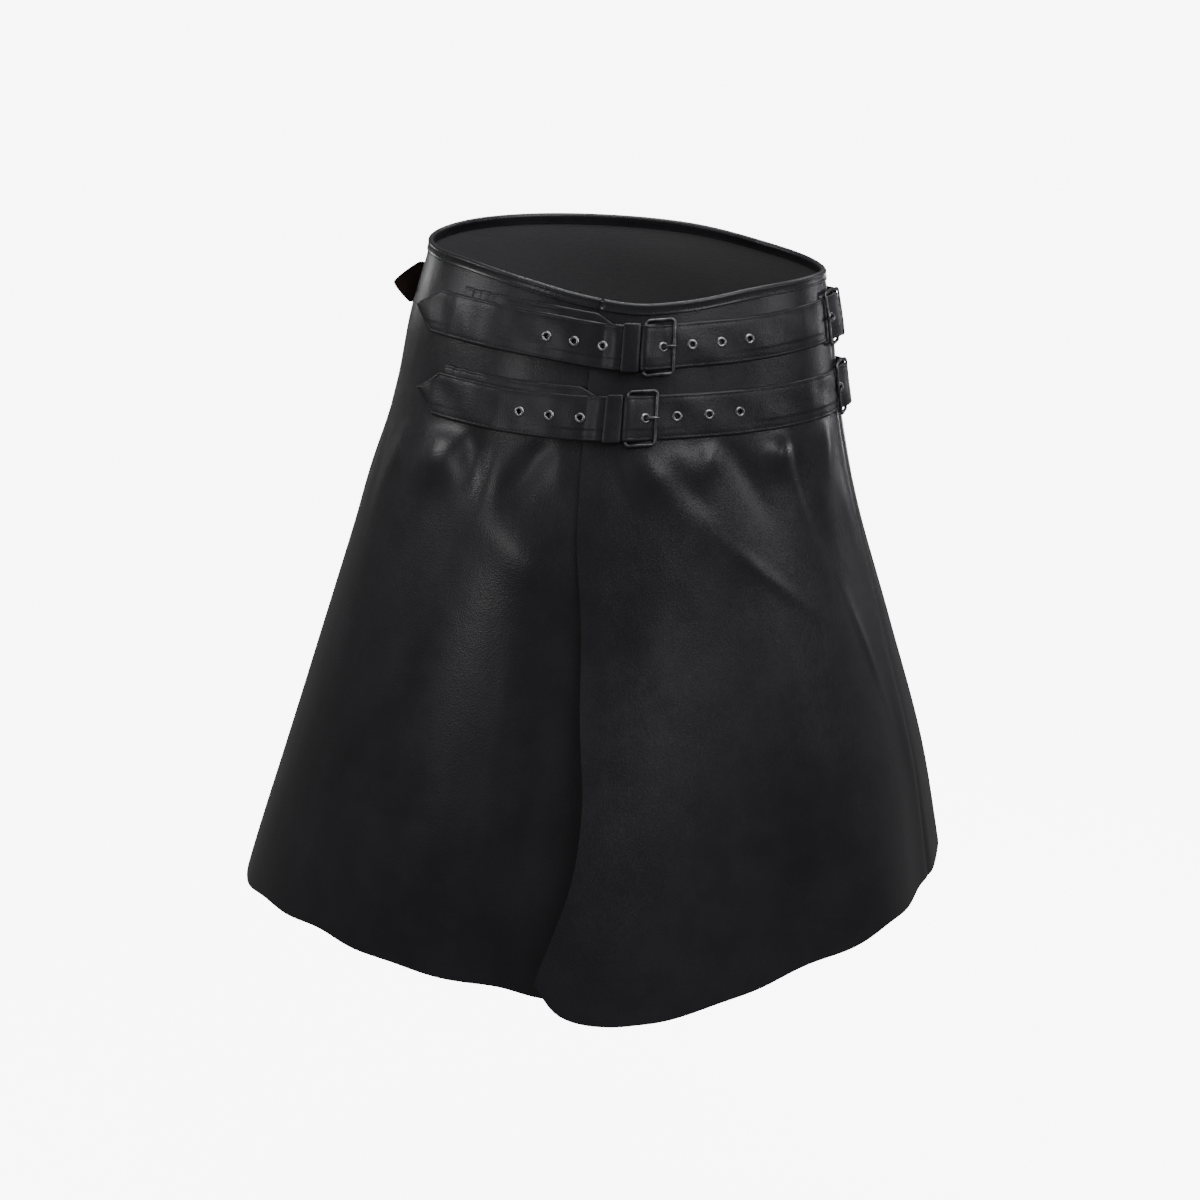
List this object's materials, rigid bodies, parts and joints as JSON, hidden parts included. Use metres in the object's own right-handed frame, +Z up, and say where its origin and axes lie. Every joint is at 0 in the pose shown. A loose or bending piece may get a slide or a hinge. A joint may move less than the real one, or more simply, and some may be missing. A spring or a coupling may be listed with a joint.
{
  "type": "wrap kilt skirt",
  "caption": "Knee-length flared wrap kilt in smooth black imitation leather, with a bound waist, two strap belts with eyelets, keeper loops and prong buckles.",
  "frame": {"origin": "middle of the waist opening, where the kilt is held", "axes": "+Z up, -Y out of the front, +X towards the wearer's left side; the hollow for the body runs along Z"},
  "size_m": [0.6578, 0.6134, 0.6086],
  "materials": {
    "panel_leather": "smooth black imitation leather with a soft sheen",
    "binding_leather": "smooth black imitation leather, folded over the rim",
    "strap_leather": "smooth black strap leather with cut edges",
    "dark_nickel": "dark nickel, satin"
  },
  "bodies": {
    "root": {"front_over_panel": "panel_leather", "front_under_panel": "panel_leather", "back_panel": "panel_leather", "waist_binding": "binding_leather", "upper_front_strap": "strap_leather", "upper_buckle_strap": "strap_leather", "upper_back_strap": "strap_leather", "upper_front_keeper": "strap_leather", "upper_side_keeper": "strap_leather", "upper_front_frame": "dark_nickel", "upper_front_prong": "dark_nickel", "upper_side_frame": "dark_nickel", "upper_side_prong": "dark_nickel", "upper_eyelet_01": "dark_nickel", "upper_eyelet_02": "dark_nickel", "upper_eyelet_03": "dark_nickel", "upper_eyelet_04": "dark_nickel", "upper_eyelet_05": "dark_nickel", "upper_eyelet_06": "dark_nickel", "upper_eyelet_07": "dark_nickel", "upper_eyelet_08": "dark_nickel", "upper_eyelet_09": "dark_nickel", "lower_front_strap": "strap_leather", "lower_buckle_strap": "strap_leather", "lower_back_strap": "strap_leather", "lower_front_keeper": "strap_leather", "lower_side_keeper": "strap_leather", "lower_front_frame": "dark_nickel", "lower_front_prong": "dark_nickel", "lower_side_frame": "dark_nickel", "lower_side_prong": "dark_nickel", "lower_eyelet_01": "dark_nickel", "lower_eyelet_02": "dark_nickel", "lower_eyelet_03": "dark_nickel", "lower_eyelet_04": "dark_nickel", "lower_eyelet_05": "dark_nickel", "lower_eyelet_06": "dark_nickel", "lower_eyelet_07": "dark_nickel", "lower_eyelet_08": "dark_nickel", "lower_eyelet_09": "dark_nickel"}
  },
  "joints": []
}
